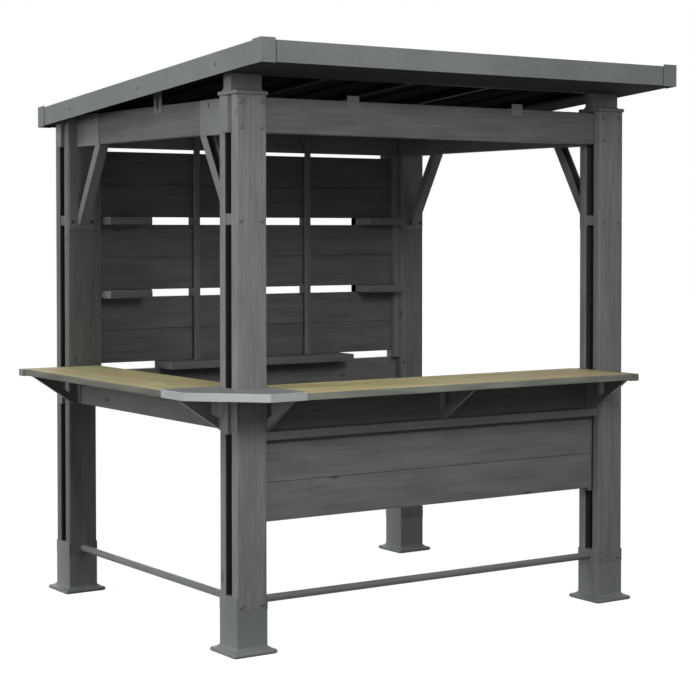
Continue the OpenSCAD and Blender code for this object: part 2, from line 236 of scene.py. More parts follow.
# %% [markdown]
# ## The timber recipe
# Growth rings show as fine curves that bend round the knots. A wave texture gives
# straight bands, so the rings are contour lines of a noise that is stretched along
# the grain: its sine is high wherever the noise passes a whole step.

# %% Timber recipe


def timber(name, along, dark, light, knot, patch=None, edge=None, roughness=0.55, gap=None):
    """Wood with its grain along axis 0, 1 or 2.

    Rings are contour lines of a stretched noise, fibres are the same noise much
    finer, and knots are the centres of sparse stretched cells. A patch colour
    drifts in slowly along the board, and an edge colour covers every face that
    does not look up. A gap holds what the gap's painted shade asks for after the
    axes: the lines, their half width and the spacer's height. That shade darkens
    the inside of a post's gap.
    """
    coat = Coat(name, roughness, shine=0.08)
    axes = coat.place()
    board = coat.node("ShaderNodeAttribute", {"attribute_name": "board"}, out="Fac")
    run = axes[along] + board * 7.31
    a, b = [axes[k] for k in range(3) if k != along]
    a = a + board * 1.37
    b = b + board * 2.11

    def stretched(lengthwise, crosswise, *noise):
        """Noise with its own scale along the grain and across it, per metre."""
        where = coat.vector(run * lengthwise, a * crosswise, b * crosswise)
        return coat.noise(where, 1.0, *noise)

    slow = stretched(3.4, 19.0, 2.0)
    bow = stretched(0.55, 6.5, 1.0, 0.4, 0.2)
    cells = coat.node("ShaderNodeTexVoronoi", {"feature": "F1"}, {
        "Vector": coat.vector(run * 2.3, a * 7.0, b * 7.0), "Scale": 1.0,
        "Randomness": 1.0}, out="Distance")
    near = 1.0 - cells.span(0.0, 0.30)
    rings = (bow * 95.0 + near * 9.0).sine() * 0.5 + 0.5
    fibre = stretched(9.0, 420.0, 2.0, 0.6)
    streak = stretched(4.0, 70.0, 3.0, 0.6)
    heart = 1.0 - cells.span(0.03, 0.09)
    halo = near - heart
    tone = (0.5 + (slow - 0.5) * 1.2 + (streak - 0.5) * 1.15 + (fibre - 0.5) * 0.3
            - (rings - 0.5) * 0.12 + halo * 0.12)
    colour = coat.blend(tone.span(0.0, 1.0), dark, light)
    if patch:
        drift = stretched(2.4, 9.0, 2.0, 0.5, 0.4)
        colour = coat.blend(drift.span(0.42, 0.62) * 0.75, colour, patch)
    colour = coat.blend(heart * 0.8, colour, knot)
    if edge:
        grey = coat.blend(tone.span(0.0, 1.0), *edge)
        colour = coat.blend(coat.upward().span(0.55, 0.9), grey, colour)
    # painted shade: the inside of each post's gap is darkened towards a near-black grey
    if gap:
        colour = coat.blend(painted_gap_shade(coat, axes, *gap) * 0.85, colour, tint(34, 34, 34))
    rough = (roughness - 0.08) + (streak * 0.16)
    height = fibre * 0.35 + streak * 0.5 - rings * 0.15 - heart * 0.4
    return coat.finish(colour, rough, height, strength=0.23, depth=0.001)


print("timber recipe: rings, fibres, streaks, knots and a slow change of tone")

# %% [markdown]
# ## Painted light and shade on the stain
# Each post, beam and panel gets its own brightness, which paints light and shade:
# the post at the front left is brighter, and the top of the wall, in the shade of
# the roof, is darker. A random value per object would vary them too, but then no
# tone could be chosen. So the recipe is called with a depth, and a finish that was
# made once is used again.

# %% Stain
stain = dict(dark=tint(106, 106, 106), light=tint(125, 125, 124), knot=tint(78, 77, 76))
finishes = {}


def stained(along, depth=1.0, gap=None):
    """The stain with its grain along an axis; depth scales how much light it returns, and so
    paints light and shade per part.
    """
    key = (along, depth, bool(gap))
    if key not in finishes:
        colours = {part: tuple(c * depth for c in colour[:3]) + (1.0,)
                   for part, colour in stain.items()}
        name = f"stained_timber_{'xyz'[along]}_{round(depth * 100)}"
        finishes[key] = timber(name + "_gap" * bool(gap), along, gap=gap, **colours)
    return finishes[key]


wood = [stained(k) for k in range(3)]
print("timber finishes:", [m.name for m in wood])

# %% [markdown]
# ## Oiled counter boards and their weathered edges
# The counter is paler: green-gold boards with brown patches and knots. Only the
# top is oiled. The edges and the end cleats have weathered to grey, so the recipe
# takes a second pair of colours for every face that does not look up.

# %% Counter timber
oiled = dict(dark=tint(154, 155, 110), light=tint(196, 195, 150), knot=tint(140, 112, 80),
             patch=tint(184, 160, 126))
weathered = [(tint(113, 118, 109), tint(148, 153, 142)),
             (tint(100, 102, 94), tint(132, 133, 123))]
counter_wood = []
for k, depth in enumerate(((1.02, 0.98, 0.94), (0.92, 0.93, 0.92))):
    colours = {key: tuple(c * d for c, d in zip(colour, depth)) + (1.0,)
               for key, colour in oiled.items()}
    counter_wood.append(timber(f"oiled_timber_{'xyz'[k]}", k, roughness=0.6,
                               edge=weathered[k], **colours))
grey_wood = [timber(f"weathered_timber_{'xyz'[k]}", k, *weathered[k], knot=tint(108, 110, 104))
             for k in (0, 1)]
print("counter finishes:", [m.name for m in counter_wood + grey_wood])

# %% [markdown]
# ## Powder-coated steel
# Feet, roof and brackets are sheet steel under a satin powder coat. Such a coat is
# even in colour, has a very fine orange-peel skin, and picks up a little dust. It
# is paint, so the shader stays non-metallic.

# %% Steel recipe


def powder_coat(name, colour, roughness=0.42, dust=0.05, top=None, below=None, shine=0.12):
    """Paint with a fine skin: small noise in height, slow noise in tone.

    Faces that look up may take another colour. Faces that look down may take a
    near-black colour as painted shade, and are then rougher as well.
    """
    coat = Coat(name, roughness, shine)
    where = coat.vector(*coat.place())
    skin = coat.noise(where, 900.0, 1.0)
    cloud = coat.noise(where, 3.5, 3.0, 0.55)
    fleck = coat.noise(where, 60.0, 2.0)
    swing = 2.2 * dust
    shade = tuple(c * (1 - swing) for c in colour[:3]) + (1.0,)
    lift = tuple(min(1.0, c * (1 + swing)) for c in colour[:3]) + (1.0,)
    base = coat.blend((cloud * 0.7 + fleck * 0.3).span(0.3, 0.7), shade, lift)
    rough = roughness - 0.05 + cloud * 0.12
    if top:
        base = coat.blend(coat.upward().span(0.6, 0.95), base, top)
    # painted shade: faces that look down take the near-black below colour
    if below:
        down = (0.0 - coat.upward()).span(0.3, 0.6)
        base = coat.blend(down, base, below)
        rough = rough + down * 0.5
    return coat.finish(base, rough, skin, strength=0.18, depth=0.0004)


print("steel recipe: an even coat with a fine skin")

# %% [markdown]
# ## The steel parts' tones, with painted shade under the roof
# The underside of the roof lies in deep shade, so the faces that look down, the
# rafters and the header are painted near black as painted shade, and they hardly
# shine. The plate at the counter's corner is paler, and the nuts are darker. One
# finish could serve them all under the right lamps, but separate tones are easier
# to tune.

# %% Steel finishes
steel = powder_coat("coated_steel", tint(113, 116, 116), shine=0.2)
# painted shade: the roof's faces that look down, its rafters and its header are near black
roof_steel = powder_coat("coated_roof_steel", tint(124, 128, 128), below=tint(24, 25, 25),
                          shine=0.10)
rafter_steel_painted_shade = powder_coat("rafter_steel_painted_shade", tint(22, 23, 23), 0.6, shine=0.02)
sheet_steel = powder_coat("coated_roof_sheet", tint(124, 129, 128), 0.6, shine=0.02,
                          below=tint(15, 16, 16))
plate_steel = powder_coat("corner_plate_steel", tint(174, 177, 177), 0.38, 0.03,
                          top=tint(119, 122, 120))
bolt_steel = powder_coat("bolt_steel", tint(108, 109, 108), 0.40, 0.06)
dark_steel = powder_coat("nut_steel", tint(66, 68, 68), 0.38, 0.06)
# painted shade: near-black for the inside of slots and for the shadows beside the corner caps
slot_shadow_steel = powder_coat("slot_shadow", tint(22, 23, 23), 0.6, 0.02)
print("steel finishes:", [m.name for m in (steel, roof_steel, rafter_steel_painted_shade, sheet_steel,
                                           plate_steel, bolt_steel, dark_steel, slot_shadow_steel)])

# %% [markdown]
# ## Boards as a profile carried along a line
# A planed board is a rectangle with rounded edges, carried along its length, and
# its ends are eased by a saw's small chamfer. So one function works out any board:
# the ring of the profile is multiplied out over four stations along the length,
# the first and last a little smaller, and numpy fills the whole grid at once.

# %% Profiles


def eased(width, height, radius, steps=4):
    """Rounded rectangle round the origin, one quarter circle at each corner.

    Corner k has its centre at (+-(w/2-r), +-(h/2-r)), and its points are the
    centre plus r (cos t, sin t) for t over a quarter turn that starts at k * 90.
    """
    turn = np.linspace(0, np.pi / 2, steps)
    rings = []
    for k, (sx, sy) in enumerate([(1, 1), (-1, 1), (-1, -1), (1, -1)]):
        t = turn + k * np.pi / 2
        centre = np.array([sx * (width / 2 - radius), sy * (height / 2 - radius)])
        rings.append(centre + radius * np.stack([np.cos(t), np.sin(t)], 1))
    return np.concatenate(rings)


def grooved(width, height, radius, cuts, v=0.004):
    """Like eased(), with a V-shaped groove of depth v at each cut, front and back.

    The cuts are places along the height, on the faces at +-width/2.
    """
    ring = eased(width, height, radius)
    right = np.array([[width / 2 - d, c + s * v] for c in cuts
                      for d, s in ((0, -1), (v, 0), (0, 1))])
    left = right[::-1] * [-1, 1]
    q = len(ring) // 4
    return np.concatenate([ring[:2 * q], left, ring[2 * q:], right])


print("points in a board's profile:", len(eased(0.138, 0.046, 0.008)))

# %% [markdown]
# ## Carrying a profile
# A saw cuts a board to length and its end edges are eased. Extruding in edit mode
# would do, but the same thing as arithmetic needs no selection and no clicks: four
# copies of the ring along the line, and the faces between them.

# %% From a profile to a board


def joined(rows, n):
    """Faces that join rows of n points one after another and close both ends.

    Face (s, i) has the corners s n + i, s n + j, (s + 1) n + j and (s + 1) n + i,
    where j is the point after i on its ring.
    """
    i = np.arange(n)
    j = (i + 1) % n
    walls = np.concatenate([np.stack([s * n + i, s * n + j, (s + 1) * n + j,
                                      (s + 1) * n + i], 1) for s in range(rows - 1)])
    return walls.tolist() + [i[::-1].tolist(), ((rows - 1) * n + i).tolist()]


def profile_axes(along):
    """The axes of a profile's width and height, so that its faces look outwards."""
    others = [k for k in range(3) if k != along]
    return others[::-1] if along == 1 else others


def carried(ring, low, high, along, end=0.0015):
    """Corner grid and faces of a ring carried along an axis between two corners.

    Stations at 0, e, L-e and L; the outer two are drawn in by e all round, which
    makes the eased ends. Both ends are closed by one face each.
    """
    low, high = np.array(low, float), np.array(high, float)
    length = high[along] - low[along]
    half = (ring.max(0) - ring.min(0)) / 2
    pull = np.array([1 - end / half, [1, 1], [1, 1], 1 - end / half])
    at = np.array([0, end, length - end, length])
    flat = ring[None] * pull[:, None, :]
    points = np.zeros((len(at), len(ring), 3))
    points[..., along] = (low[along] + at)[:, None]
    for column, axis in enumerate(profile_axes(along)):
        points[..., axis] = (low[axis] + high[axis]) / 2 + flat[..., column]
    return points.reshape(-1, 3), joined(len(at), len(ring))


test_points, test_faces = carried(eased(0.138, 0.046, 0.008), (0, 0, 0), (1, 0.138, 0.046), 0)
print("a board has", len(test_points), "points and", len(test_faces), "faces")

# %% [markdown]
# ## Turning numbers into pieces
# A piece may hold several boards. They are laid end to end in one list of points,
# and each board's number goes into an attribute that the timber recipe reads.

# %% Piece maker


def piece(name, parts, material, stands_for=(), smooth=30.0):
    """Joins (points, faces) pairs into one object that rides on the body."""
    points, faces, number = [], [], []
    start = 0
    for k, (p, f) in enumerate(parts):
        points.append(p)
        faces += [[c + start for c in face] for face in f]
        number.append(np.full(len(p), (k * 0.618 + len(name) * 0.137) % 1.0))
        start += len(p)
    mesh = bpy.data.meshes.new(name)
    mesh.from_pydata(np.concatenate(points).tolist(), [], faces)
    mesh.attributes.new("board", "FLOAT", "POINT").data.foreach_set(
        "value", np.concatenate(number).astype(np.float32))
    mesh.materials.append(material)
    mesh.shade_smooth()
    mesh.set_sharp_from_angle(angle=math.radians(smooth))
    made = bpy.data.objects.new(name, mesh)
    scene.collection.objects.link(made)
    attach(made, "root")
    if stands_for:
        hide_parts(*stands_for)


def plank(low, high, along, radius=0.003, cuts=None, end=0.0015):
    """A board between two corners; cuts make it a grooved panel."""
    w, h = [high[k] - low[k] for k in profile_axes(along)]
    ring = eased(w, h, radius) if cuts is None else grooved(w, h, radius, cuts)
    return carried(ring, low, high, along, end)


print("a board of five metres has", len(plank((0, 0, 0), (5, 0.1, 0.05), 0)[0]), "points")

# %% [markdown]
# ## Posts
# Each post is a sandwich: two stout boards with a gap between them, so that a beam
# can pass through and be bolted from both sides. A short block keeps the gap open
# half way up. The boards could be scaled cubes with a bevel. Profiles give the
# eased edges at once, and light hardly reaches the gap, so its shade is painted
# into the finish as a darker grey.

# %% Post boards
board_t = 0.046
spacer_half = 0.0225
inset = 0.005
# painted light and shade per post: the front left post brighter, the back posts darker
post_light_level = dict(zip(post_names, (1.20, 1.08, 0.88, 0.92)))
edge = 0.0070
swell = np.array([0.0012, 0.0007, 0])
spacer_z = (span("wall_panel_top")[0][2] + span("wall_panel_middle")[1][2]) / 2
# painted shade inside the post gaps: the lines of the gaps, their half width, and the spacer's
# height where the shade stops
post_gap_shade = ([float(middle[n][1]) for n in ("post_front_left", "post_back_left")],
            0.0242, float(spacer_z))
for name, (low, high) in posts.items():
    boards = []
    for y0 in (low[1], high[1] - board_t):
        a = np.array([low[0], y0, low[2]]) - [swell[0], swell[1] * (y0 == low[1]), 0]
        b = np.array([high[0], y0 + board_t, high[2]]) + [swell[0], swell[1] * (y0 > low[1]), 0]
        boards.append(plank(a, b, 2, edge))
    block, top = low + [inset, board_t, 0], high - [inset, board_t, 0]
    block[2], top[2] = spacer_z - spacer_half, spacer_z + spacer_half
    boards.append(plank(block, top, 0))
    piece(name + "_boards", boards, stained(2, post_light_level[name], post_gap_shade),
          [name])
print("each post board is", round(float(posts["post_front_left"][1][2]
      - posts["post_front_left"][0][2]), 3), "m long")

# %% [markdown]
# ## Beams and rails
# The beams and rails lie flat in the gaps of the posts, so their ends show only
# where they pass through. The front and back ones run through both posts; the side
# ones stop against them. They are the same planed timber, and turning the grain is
# enough: the same function carries the profile along another axis.

# %% Beams and rails
# the second number of each pair is painted light and shade; the left beam, in the shade of the
# roof, is darker
lying = {"front_beam": (0, 0.90), "back_beam": (0, 1.0), "left_beam": (1, 0.84),
         "right_beam": (1, 1.0), "front_rail": (0, 1.0), "back_rail": (0, 1.0),
         "left_rail": (1, 1.04)}
for name, (along, depth) in lying.items():
    low, high = span(name)
    piece(name + "_board", [plank(low, high, along, 0.004)],
          stained(along, depth), [name])
print("beams and rails:", len(lying))

# %% [markdown]
# ## Panels with V-grooves
# The wall and the front panel are made of tongued boards: where two boards meet,
# their edges are chamfered, and the two chamfers make a V-shaped groove. The
# groove is simply four more points in the profile that is carried along.

# %% Wall and front panel
front_seam = 0.158
# each number is painted light and shade per panel; the top panel, in the shade of the roof, is
# darkest
panels = {"wall_panel_top": 0.72, "wall_panel_middle": 0.92, "wall_panel_bottom": 0.88,
          "front_panel": 1.0}
for name, depth in panels.items():
    low, high = span(name)
    seam = front_seam - (high[2] - low[2]) / 2 if name == "front_panel" else 0.0
    piece(name + "_boards", [plank(low, high, 0, cuts=[seam])],
          stained(0, depth), [name])
print("panels:", len(panels))

# %% [markdown]
# ## Telling the solids of a part apart
# The wall's loose battens, shelves and cleats are separate solids, and one part of
# the model holds several of them. They could be listed by hand, but a changed size
# would then be missed, so triangles that share a corner are gathered instead.

# %% Separate solids of a part


def islands(node):
    """Corner pairs of a part's separate solids, sorted by x and then by y.

    Triangles that share a corner belong together: every corner takes the lowest
    label among its triangle's three until no label changes any more.
    """
    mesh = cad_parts[node].data
    points = np.zeros(len(mesh.vertices) * 3)
    mesh.vertices.foreach_get("co", points)
    points = points.reshape(-1, 3)
    mesh.calc_loop_triangles()
    corners = np.zeros(len(mesh.loop_triangles) * 3, int)
    mesh.loop_triangles.foreach_get("vertices", corners)
    _, merged = np.unique(points.round(5), axis=0, return_inverse=True)
    tri = merged.reshape(-1)[corners].reshape(-1, 3)
    label = np.arange(merged.max() + 1)
    while True:
        least = label[tri].min(1)
        fresh = label.copy()
        for k in range(3):
            np.minimum.at(fresh, tri[:, k], least)
        if (fresh == label).all():
            break
        label = fresh
    groups = label[merged.reshape(-1)]
    found = [(points[groups == g].min(0), points[groups == g].max(0))
             for g in np.unique(groups)]
    return sorted(found, key=lambda pair: (round(pair[0][0], 3), round(pair[0][1], 3)))


print("upright battens:", len(islands("wall_battens")))

# %% [markdown]
# ## Battens, cleats and shelves
# Upright battens tie the panels together, and the shelves sit in the gaps between
# panels. Each solid could become a bevelled cube, but boards from the profile
# maker have grain and eased edges, so each separate solid becomes one board.

# %% Wall battens
gap_low = span("wall_panel_middle")[1][2]
gap_high = span("wall_panel_top")[0][2]
step = gap_high - span("wall_panel_middle")[0][2]
beam_low = span("front_beam")[0][2]
upright_t = 0.013
bar = 0.036
bars = []
for low, high in islands("wall_battens"):
    bars.append(plank((low[0] + 0.004, low[1], low[2]),
                      (high[0], low[1] + upright_t, high[2]), 2))
    for z in (gap_low - step, gap_low, beam_low + 0.060):
        bars.append(plank((low[0] - 0.012, low[1] + upright_t, z),
                          (high[0], high[1], z + bar), 0, 0.002))
piece("wall_batten_bars", bars, wood[2], ["wall_battens"])

bars = []
wall_front = span("wall_panel_top")[0][1]
for low, high in islands("wall_end_battens"):
    left = low[0] < 0
    x = (low[0], low[0] + bar) if left else (high[0] - bar, high[0])
    bars.append(plank((x[0], low[1], low[2]), (x[1], wall_front, high[2]), 2))
    bars.append(plank((low[0], wall_front, high[2] - 0.018), high, 0, 0.002))
piece("wall_end_batten_bars", bars, wood[2], ["wall_end_battens"])
print("bars at the ends of the wall:", len(bars))

# %% [markdown]
# ## The ledge of the front panel
# A narrow board lies on the panel's upper edge, and a cleat stands at each end of
# the panel. The model has them as one solid, and one bevelled copy would have no
# grain of its own direction, so it becomes three boards.

# %% Ledge and cleats of the front panel
low, high = span("front_panel_battens")
panel_low, panel_high = span("front_panel")
piece("front_panel_ledge", [plank((low[0], low[1], panel_high[2]), high, 0, 0.004)],
      wood[0], ["front_panel_battens"])
back = 0.002
bars = [plank((x0, panel_low[1] + back, low[2]), (x1, panel_high[1] - back, panel_high[2]),
              2, 0.002)
        for x0, x1 in ((low[0], panel_low[0]), (panel_high[0], high[0]))]
piece("front_panel_cleats", bars, wood[2], ["front_panel_battens"])
print("ledge, and cleats:", len(bars))

# %% [markdown]
# ## Shelves
# The shelves slide into the gaps of the wall and fill them where they stand. A gap
# could be left open beside a shelf, but light from behind would shine through, so
# a block as high as the gap lies behind every upper and lower shelf.

# %% Shelf boards
wall_low, wall_high = span("wall_panel_top")
past_left = 0.066
for name, gap_top in (("shelves_upper", gap_high), ("shelves_lower", gap_high - step),
                      ("shelf_long", None)):
    shelves = islands(name)
    boards = [plank(a, b, 0) for a, b in shelves]
    if gap_top:
        boards += [plank((a[0], wall_low[1] + back, gap_top - (gap_high - gap_low)),
                         (b[0] + past_left * (b[0] < 0), wall_high[1] - back, gap_top),
                         0, 0.001) for a, b in shelves]
    piece(name + "_boards", boards, wood[0], [name])
    print(name, "has", len(shelves), "shelves")

# %% [markdown]
# ## The counter
# Each counter is three boards side by side, with a fine V between neighbours. One
# panel with grooves would do, but then one grain would run across all three. They
# are separate boards here, so that every one has its own figure. A cleat closes
# the end of each counter.

# %% Counter boards
for name, along in (("counter_front", 0), ("counter_left", 1)):
    low, high = span(name)
    across = 1 - along
    cuts = np.linspace(low[across], high[across], 4)
    boards = []
    for c0, c1 in zip(cuts[:-1], cuts[1:]):
        a, b = low.copy(), high.copy()
        a[across], b[across] = c0, c1
        boards.append(plank(a, b, along, end=0.001))
    piece(name + "_boards", boards, counter_wood[along], [name])
    print(name, "has", len(boards), "boards")

# %% [markdown]
# ## Cleats of the counter
# A cleat covers the end grain of the three boards. Its tip is a little deeper than
# the rest, which two boards show more simply than a cut would.

# %% Cleats at the ends of the counters
tip_length = 0.065
ends = islands("counter_end_cleats")
for word, k, (low, high) in (("right", 1, ends[1]), ("back", 0, ends[0])):
    tip_high, body_low = high.copy(), low.copy()
    tip_high[k] = low[k] + tip_length
    body_low[k] = low[k] + tip_length - 0.001
    body_low[2] = low[2] + 0.003
    piece(f"counter_cleat_{word}", [plank(low, tip_high, k), plank(body_low, high, k)],
          grey_wood[k], ["counter_end_cleats"])
print("cleats:", len(ends))

# %% [markdown]
# ## Folded steel
# Sheet steel that is cut and folded has small rounded edges, and these catch the
# light as thin bright lines. The construction parts have sharp edges and must not
# be changed, so each is copied, its loose triangles are merged into flat faces,
# and a Bevel modifier rounds the edges of the copy.

# %% Rounded copies of the steel parts


def softened(node, width, material):
    """A merged copy of a part with its sharp edges rounded."""
    fold = math.radians(35)
    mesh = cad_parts[node].data.copy()
    mesh.name = node + "_soft"
    work = bmesh.new()
    work.from_mesh(mesh)
    bmesh.ops.remove_doubles(work, verts=work.verts, dist=1e-5)
    bmesh.ops.dissolve_limit(work, angle_limit=math.radians(0.4),
                             verts=work.verts, edges=work.edges)
    work.to_mesh(mesh)
    work.free()
    mesh.materials.clear()
    mesh.materials.append(material)
    mesh.shade_smooth()
    made = bpy.data.objects.new(node + "_soft", mesh)
    scene.collection.objects.link(made)
    bevel = made.modifiers.new("edges", "BEVEL")
    bevel.width, bevel.segments = width, 2
    bevel.limit_method, bevel.angle_limit = "ANGLE", fold
    bevel.use_clamp_overlap = True
    bevel.harden_normals = True
    mesh.set_sharp_from_angle(angle=fold)
    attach(made, "root")
    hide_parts(node)


print("an edge sharper than 35 degrees is a fold")

# %% Which steel parts are rounded
for node in ("brace_front_left", "brace_back_left", "brace_front_right", "brace_back_right",
             "beam_end_caps", "front_counter_brackets", "left_counter_brackets"):
    softened(node, 0.0011, steel)
for node in ("roof_header", "roof_rafters"):
    softened(node, 0.0011, rafter_steel_painted_shade)
for node in ("fascia_front", "fascia_back", "fascia_left", "fascia_right",
             "roof_corner_caps"):
    softened(node, 0.0012, roof_steel)
softened("counter_corner", 0.0014, plate_steel)
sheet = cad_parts["roof_sheet"].data
sheet.materials.clear()
sheet.materials.append(sheet_steel)
print("steel parts rounded")

# %% [markdown]
# ## Roof clips
# Small bent plates stand on the beams and hold the roof down. They could be copied
# and rounded like the other steel, but the model's own are open frames. Two thin
# boards, one upright and one lying, make a clip that looks solid.

# %% Clips between the beams and the roof
clips = []
lying_top = span("front_beam")[1][2]
for low, high in islands("roof_clips"):
    beside = 0 if low[0] < posts["post_front_left"][1][0] else 1
    t = 0.004 if beside == 0 else 0.003
    face_high, foot_low = high.copy(), low.copy()
    face_high[beside] = low[beside] + t
    foot_low[2], foot_high = lying_top, high.copy()
    foot_high[2] = lying_top + t
    clips.append(plank(low, face_high, beside, 0.002, end=0.001))
    clips.append(plank(foot_low, foot_high, 2, 0.001, end=0.001))
piece("roof_clip_plates", clips, steel, ["roof_clips"])
print("roof clips:", len(clips) // 2)

# %% [markdown]
# ## Feet and post caps
# A foot is a square steel shoe that the post boards stand in. Its base flares out
# in a hollow curve to a rounded flange. It could be sculpted from a cube, but the
# curve would be hard to change. As a stack of rounded squares, each level has only
# a half width and a height, and the levels are joined to a skin.

# %% A stack of rounded squares


def stacked(centre, levels, steps=5):
    """Skin over rounded squares: level = (half x, half y, radius, height).

    Point j of level i is the level's rounded square at angle j, raised to its
    height; rows are joined by four-sided faces and the two ends are closed.
    """
    rows = [np.column_stack([eased(2 * hx, 2 * hy, r, steps), np.full(4 * steps, z)])
            for hx, hy, r, z in levels]
    points = np.array(rows) + [centre[0], centre[1], 0]
    return points.reshape(-1, 3), joined(len(rows), 4 * steps)


print("a stack of two levels has", len(stacked((0, 0), [(1, 1, 0.1, 0), (1, 1, 0.1, 1)])[0]),
      "points")

# %% [markdown]
# ## The foot from below upwards
# The shoe has a rounded rim, a hollow flare and straight walls, and thin plates
# run up from it beside the boards and in their gap. Each stretch is a short list
# of levels with its own formula, so it can be changed without the others.

# %% Feet
low, high = span("feet")
flange = middle["post_front_left"][0] - low[0]
box_x, box_y = 0.073, 0.070
seat = posts["post_front_left"][0][2]
rise = 0.034
rim_t = 0.018
rim_round, corner_round = 0.008, 0.013
hollow = 1.8
turn = np.linspace(-np.pi / 2, np.pi / 2, 9)
rim_half = flange - rim_round * (1 - np.cos(turn))
rim = [(h, h, corner_round, rim_t / 2 * (1 + np.sin(t))) for h, t in zip(rim_half, turn)]
flare = [(box_x + (flange - corner_round - box_x) * (1 - t) ** hollow,
          box_y + (flange - corner_round - box_y) * (1 - t) ** hollow,
          0.010 - 0.005 * t, rim_t + (rise - rim_t) * t) for t in np.linspace(0, 1, 8)]
chamfer = 0.0015
walls = [(box_x, box_y, 0.005, seat - chamfer),
         (box_x - chamfer, box_y - chamfer, 0.004, seat)]
wood_half, tongue_half, sunk = 0.0692, 0.0228, 0.003
shoes, plates = [], []
for name, centre in middle.items():
    shoes.append(stacked(centre, rim + flare + walls))
    for side in (-1, 1):
        x0, x1 = sorted((centre[0] + side * wood_half, centre[0] + side * box_x))
        plates.append(plank((x0, centre[1] - box_y, seat - sunk),
                            (x1, centre[1] + box_y, high[2]), 2, 0.0018, end=0.001))
    plates.append(plank((centre[0] - wood_half, centre[1] - tongue_half, seat - sunk),
                        (centre[0] + wood_half, centre[1] + tongue_half, high[2]), 2, 0.001))
piece("foot_shoes", shoes, steel, ["feet"], smooth=35)
piece("foot_side_plates", plates, steel, ["feet"])
print("flange half width:", round(float(flange), 4))

# %% [markdown]
# ## Caps of the front posts
# A lipped cap closes each front post, and a riser stands welded on it and carries
# the roof. A bevel would round all edges alike. Levels give the lip a soft edge
# and the weld its hollow foot.

# %% Post caps
low, high = span("front_post_caps")
cap_low = posts["post_front_left"][1][2]
lip_half, riser_x, riser_y, riser_round = 0.076, 0.073, 0.030, 0.003
lip_levels = ((0.003, 0.004, 0), (0.0008, 0.006, 0.0015), (0, 0.007, 0.005),
              (0, 0.007, 0.011), (0.0012, 0.006, 0.0145), (0.004, 0.004, 0.016))
lip = [(lip_half - less, lip_half - less, r, cap_low + z) for less, r, z in lip_levels]
weld = ((0.004, 0.0155), (0.004, 0.0205), (0.0025, 0.022), (0.0002, 0.024), (0, 0.026))
riser = [(riser_x + more, riser_y + more, riser_round, cap_low + z) for more, z in weld]
riser.append((riser_x, riser_y, riser_round, high[2]))
caps = [stacked(middle[name], lip) for name in post_names[:2]]
risers = [stacked(middle[name], riser) for name in post_names[:2]]
piece("post_cap_lips", caps, steel, ["front_post_caps"], smooth=35)
piece("post_cap_risers", risers, steel, ["front_post_caps"], smooth=35)
print("post caps:", len(caps), "risers:", len(risers))

# %% [markdown]
# ## Foot rails
# The foot rails are round tubes between the feet. A cylinder primitive would do,
# but the profile maker is there already: a tube is a circle carried along a line.

# %% Foot rail tubes


def tube(low, high, along, sides=48):
    """Circle of the box's own thickness carried between its two ends."""
    t = np.arange(sides) * 2 * np.pi / sides
    r = (high[1 - along] - low[1 - along]) / 2
    ring = np.stack([np.cos(t), np.sin(t)], 1) * r
    return carried(ring, low, high, along, 0.0002)


for name, along in (("foot_rail_front", 0), ("foot_rail_left", 1)):
    piece(name + "_tube", [tube(*span(name), along)], steel, [name], smooth=40)
print("foot rails are tubes of", round(float(span("foot_rail_left")[1][0]
      - span("foot_rail_left")[0][0]), 3), "m")

# %% [markdown]
# ## Bolts
# Domed bolts go through the post boards and the beam between them, and at the
# spacer block each ends in a nut on a washer. A squashed sphere could stand for a
# head, but a curve turned round its axis gives the rim too: radius and height
# follow a quarter ellipse.

# %% Round heads


def turned(centre, axis, sign, profile, sides=20):
    """Profile (radius, height) turned round an axis that points out of a face.

    Point (i, j) = centre + axis * height_i + radius_i * (cos a_j, sin a_j).
    """
    profile = np.array(profile, float)
    a = np.arange(sides) * 2 * np.pi / sides
    u, v = [k for k in range(3) if k != axis]
    points = np.zeros((len(profile), sides, 3)) + np.array(centre)
    points[..., u] += profile[:, :1] * np.cos(a)
    points[..., v] += profile[:, :1] * np.sin(a)
    points[..., axis] += sign * profile[:, 1:]
    faces = joined(len(profile), sides)
    if (sign < 0) != (axis == 1):
        faces = [f[::-1] for f in faces]
    return points.reshape(-1, 3), faces


head_r, head_t, washer_t = 0.0114, 0.0048, 0.0012
rise_t = np.linspace(0, np.pi / 2 - 0.12, 7)
dome = [(0.0110, 0.0), (head_r, 0.0008)] + [
    (head_r * np.cos(t), washer_t + head_t * np.sin(t)) for t in rise_t]
nut = [(0.0125, 0.0), (0.0125, 0.0018), (0.0120, 0.0022), (0.0086, 0.0023), (0.0088, 0.0028),
       (0.0088, 0.0085), (0.0080, 0.0092), (0.0048, 0.0093), (0.0046, 0.0135), (0.0040, 0.0140)]
print("points in a bolt head's curve:", len(dome), "and in a nut's:", len(nut))

# %% [markdown]
# ## Where the bolts sit
# Two bolts side by side hold every beam and rail, and two the spacer block. The
# heights could be typed in, but they are taken from the beams and rails, so that
# the bolts follow when a beam moves.

